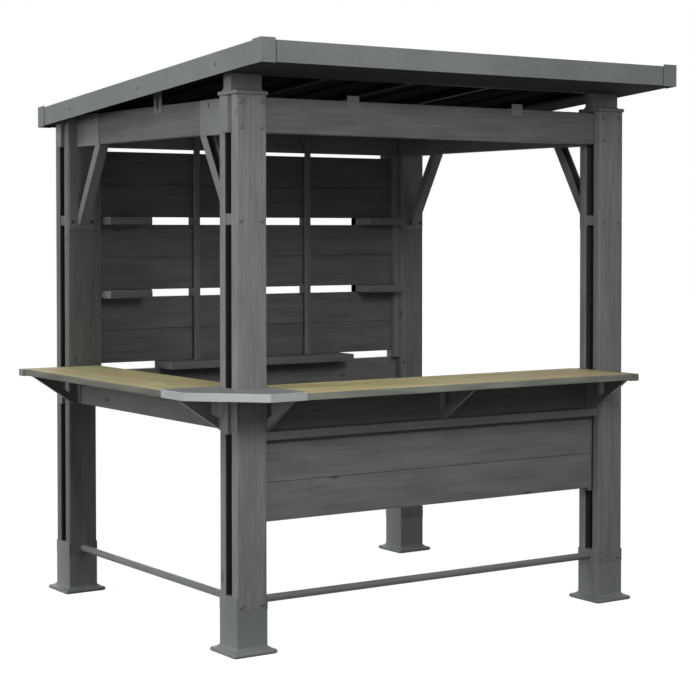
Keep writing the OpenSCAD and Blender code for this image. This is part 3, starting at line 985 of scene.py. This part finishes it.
# %% Bolts through the posts
beam_bottom, beam_top = span("front_beam")[0][2], span("front_beam")[1][2]
levels = [beam_top - 0.022, beam_bottom + 0.021, spacer_z - 0.005,
          span("front_rail")[1][2] - 0.022, span("front_rail")[0][2] + 0.016,
          span("feet")[1][2] - 0.034]
spacer_level, rail_levels = levels[2], levels[3:5]
pair = (-0.050, 0.050)
heads, nuts = [], []
for name, (low, high) in posts.items():
    front = name.startswith("post_front")
    y, y_in, s = ((low[1] - swell[1], high[1], -1) if front
                  else (high[1] + swell[1], low[1], 1))
    places = [(middle[name][0] + x, z) for z in levels if z >= seat for x in pair]
    heads += [turned((x, y, z), 1, s, dome) for x, z in places]
    nuts += [turned((x, y_in, z), 1, -s, nut, 12) for x, z in places if z == spacer_level]
for name in post_names[2:]:
    heads += [turned((middle[name][0] + x, posts[name][0][1] - swell[1], z), 1, -1, dome)
              for z in rail_levels for x in pair]
piece("post_bolt_heads", heads, bolt_steel, smooth=45)
piece("post_bolt_nuts", nuts, dark_steel, smooth=30)
print("bolt heads:", len(heads), "nuts:", len(nuts))

# %% [markdown]
# ## Fixings of the roof
# The side boards of the roof and the sleeves of the braces are held by screws in
# short upright slots. Cutting them would change the steel, so each slot is a thin
# dark oval on its face, painted shade of the slot's inside, and the joint beside
# each front corner cap is a thin dark strip, painted shadow of the cap's end.

# %% Slots, joints and their painted shade
edge_board = 0.088
roof_low, roof_high = span("fascia_left")
fall = (roof_high[2] - roof_low[2] - edge_board) / (roof_high[1] - roof_low[1])
front_y = middle["post_front_left"][1]
back_y = middle["post_back_left"][1]
slots = []


def upright_slot(x, side, y, z, wide=0.007, tall=0.014):
    """A thin upright oval on a face that looks along -X or +X."""
    x0, x1 = sorted((x - side * 0.0004, x + side * 0.0005))
    return plank((x0, y - wide / 2, z - tall / 2), (x1, y + wide / 2, z + tall / 2), 0,
                 wide / 2 - 0.0002, end=0.0001)


for node, side in (("fascia_left", -1), ("fascia_right", 1)):
    low, high = span(node)
    x = low[0] if side < 0 else high[0]
    for y in (front_y + 0.005, (front_y + back_y) / 2 - 0.1, back_y - 0.21):
        slots.append(upright_slot(x, side, y, roof_high[2] - fall * (y - roof_low[1]) - 0.048))
brace_half = 0.026
for node, side in (("brace_front_left", -1), ("brace_back_left", -1),
                   ("brace_front_right", 1), ("brace_back_right", 1)):
    low, high = span(node)
    centre = middle[node.replace("brace", "post")]
    inward = 1 if "front" in node else -1
    face = centre[0] + side * brace_half
    slots.append(upright_slot(face, side, centre[1] + inward * 0.232, beam_top - 0.022,
                              0.007, 0.018))
    slots.append(upright_slot(face, side, centre[1] + inward * 0.14, beam_bottom + 0.03,
                              0.006, 0.006))
low, high = islands("roof_clips")[0]
slots.append(upright_slot(low[0], -1, (low[1] + high[1]) / 2, (low[2] + high[2]) / 2 - 0.006,
                          0.016, 0.056))
print("slots:", len(slots))

# %% Painted shadows at the joints beside the corner caps
# painted shadow: widths of the dark strips beside the left and right corner caps
left_cap_shadow, right_cap_shadow = 0.0058, 0.0025
board_low, board_high = span("fascia_front")
for low, high in islands("roof_corner_caps"):
    if low[1] < board_low[1] + 0.001:
        x = high[0] if low[0] < 0 else low[0]
        x0, x1 = sorted((x, x + (left_cap_shadow if low[0] < 0 else -right_cap_shadow)))
        slots.append(plank((x0, board_low[1] - 0.0004, board_high[2] - edge_board),
                           (x1, board_low[1] + 0.0005, board_high[2] - 0.004), 2, 0.0002,
                           end=0.0002))
piece("fixing_slots", slots, slot_shadow_steel)
print("slots and joints:", len(slots))

# %% [markdown]
# ## Roofing screws
# On top, a hexagon screw with a washer sits on every rib of the sheet where it
# crosses a bearer. The places could be typed in, but they are read from the sheet:
# the highest points at its two ends are the edges of the ribs.

# %% Screws on the ribs
points = np.empty(len(sheet.vertices) * 3, np.float32)
sheet.vertices.foreach_get("co", points)
points = points.reshape(-1, 3)
level = 0.0004
ends = []
for y in (points[:, 1].min(), points[:, 1].max()):
    row = points[np.abs(points[:, 1] - y) < 0.002]
    ends.append(row[row[:, 2] > row[:, 2].max() - level])
edges = np.sort(ends[0][:, 0])
ribs = edges[1::2] / 2 + edges[::2] / 2
y0, z0 = ends[0][0, 1:]
y1, z1 = ends[1][0, 1:]
hexagon = [(0.0085, -0.001), (0.0085, 0.0008), (0.0080, 0.0012), (0.0052, 0.0013),
           (0.0052, 0.0050), (0.0046, 0.0055)]
heads = [turned((x, y, z0 + (y - y0) * (z1 - z0) / (y1 - y0)), 2, 1, hexagon, 12)
         for x in ribs for y in (front_y - 0.25, front_y, (front_y + back_y) / 2, back_y)]
piece("roofing_screws", heads, steel, smooth=30)
print("roofing screws:", len(heads))

# %% [markdown]
# ## A floor that hardly shines back
# The gazebo stands on a white floor that melts into a white sky. A plain white
# floor would light the roof from below, which ought to be nearly black. So floor
# and sky look white to the camera and in reflections, but scatter next to nothing
# on the object: their materials ask Light Path which kind of ray has arrived.

# %% Floor helpers
scene.view_settings.view_transform = "Standard"


def seen_directly(tree):
    """1 for a ray from the camera, a reflection or glass, and 0 for scattered light."""
    path = tree.nodes.new("ShaderNodeLightPath")
    share = path.outputs["Is Camera Ray"]
    for kind in ("Is Glossy Ray", "Is Transmission Ray"):
        most = tree.nodes.new("ShaderNodeMath")
        most.operation = "MAXIMUM"
        tree.links.new(share, most.inputs[0])
        tree.links.new(path.outputs[kind], most.inputs[1])
        share = most.outputs[0]
    return share


def shader(tree, kind, colour, strength=None):
    """A plain shader of one grey; strength makes it glow."""
    made = tree.nodes.new(kind)
    made.inputs["Color"].default_value = (colour, colour, colour, 1)
    if strength is not None:
        made.inputs["Strength"].default_value = strength
    return made.outputs[0]


def pick(tree, scattered, direct):
    """Joins two shaders by the kind of ray that asks."""
    mix = tree.nodes.new("ShaderNodeMixShader")
    for k, socket in enumerate((seen_directly(tree), scattered, direct)):
        tree.links.new(socket, mix.inputs[k])
    return mix.outputs[0]


print("a pick joins a scattered and a direct shader")

# %% [markdown]
# ## The floor itself
# Glowing white alone would hide every shadow, and diffuse white alone would turn
# grey. Added together they stay white and keep a faint shadow round the feet.

# %% Floor
bpy.ops.mesh.primitive_plane_add(size=60, location=(0, 0, -0.0005))
floor = bpy.context.object
floor.name = "floor"
ground = bpy.data.materials.new("pale_floor")
ground.use_nodes = True
tree = ground.node_tree
tree.nodes.clear()
pale = tree.nodes.new("ShaderNodeAddShader")
tree.links.new(shader(tree, "ShaderNodeEmission", 1, 0.98), pale.inputs[0])
tree.links.new(shader(tree, "ShaderNodeBsdfDiffuse", 0.06), pale.inputs[1])
tree.links.new(pick(tree, shader(tree, "ShaderNodeBsdfDiffuse", 0.03), pale.outputs[0]),
               tree.nodes.new("ShaderNodeOutputMaterial").inputs[0])
floor.data.materials.append(ground)
print("floor at", round(floor.location.z, 4), "m")

# %% [markdown]
# ## The sky
# An outdoor sky would tint the stain, and a dark one would show in the steel. This
# sky is white where it is seen, and gives only a trace of light everywhere.

# %% Sky
sky_strength = 0.02
world = bpy.data.worlds.new("sky")
scene.world = world
world.use_nodes = True
tree = world.node_tree
tree.nodes.clear()
tree.links.new(pick(tree, shader(tree, "ShaderNodeBackground", 1, sky_strength),
                    shader(tree, "ShaderNodeBackground", 1, 1.0)),
               tree.nodes.new("ShaderNodeOutputWorld").inputs[0])
print("scattered sky light:", sky_strength)

# %% [markdown]
# ## Soft lamps
# Large soft lights stand on the left and in front, with weaker ones on the right
# and behind. One bright sky could do it, but separate lamps can be weighed one by
# one. Suns light every part alike, and the near discs only the front of the bar.

# %% Soft lamps
soft_lamps = [("behind", "SUN", (0.3, 1.0, 0.12), 0.7, 40),
              ("right_low", "SUN", (1.0, 0.1, 0.1), 0.8, 40),
              ("left_low", "SUN", (-1.0, 0.0, 0.1), 1.48, 40),
              ("left_high", "SUN", (-1.0, 0.15, 1.0), 1.48, 25),
              ("front_high", "SUN", (0.15, -1.0, 0.9), 0.62, 25),
              ("near_front", "AREA", (-1.2, -5.0, 3.5), 100.0, 2.0),
              ("near_left", "AREA", (-3.0, -2.4, 1.5), 8.0, 2.0),
              ("near_floor", "AREA", (-1.4, -3.4, 0.8), 3.2, 2.0)]
for name, kind, place, energy, spread in soft_lamps:
    data = bpy.data.lights.new(name, kind)
    data.energy = energy
    lamp = bpy.data.objects.new(name, data)
    place = Vector(place)
    if kind == "SUN":
        data.angle = math.radians(spread)
        aim = place
    else:
        data.shape, data.size = "DISK", spread
        lamp.location = place
        aim = place - Vector((0, 0, 1.2))
    lamp.rotation_euler = aim.to_track_quat("Z", "Y").to_euler()
    scene.collection.objects.link(lamp)
print("lamps:", [lamp[0] for lamp in soft_lamps])

# %% [markdown]
# ## The camera
# The gazebo is seen from the front left, a little above the counter. A camera that
# looks level and shifts its lens would keep the posts upright; this one also tips
# down by a degree and a half, which makes them lean together slightly.

# %% Camera
eye = bpy.data.cameras.new("eye")
eye.sensor_width = 36
eye.lens = 93.85
eye.shift_x = -0.01746
eye.shift_y = -0.09774
eye.clip_end = 200
camera = bpy.data.objects.new("eye", eye)
camera.location = (-4.5944, -7.0017, 1.7165)
camera.rotation_euler = (math.radians(90 - 1.593), 0, math.radians(-34.2036))
scene.collection.objects.link(camera)
scene.camera = camera
print("camera at", [round(v, 2) for v in camera.location])
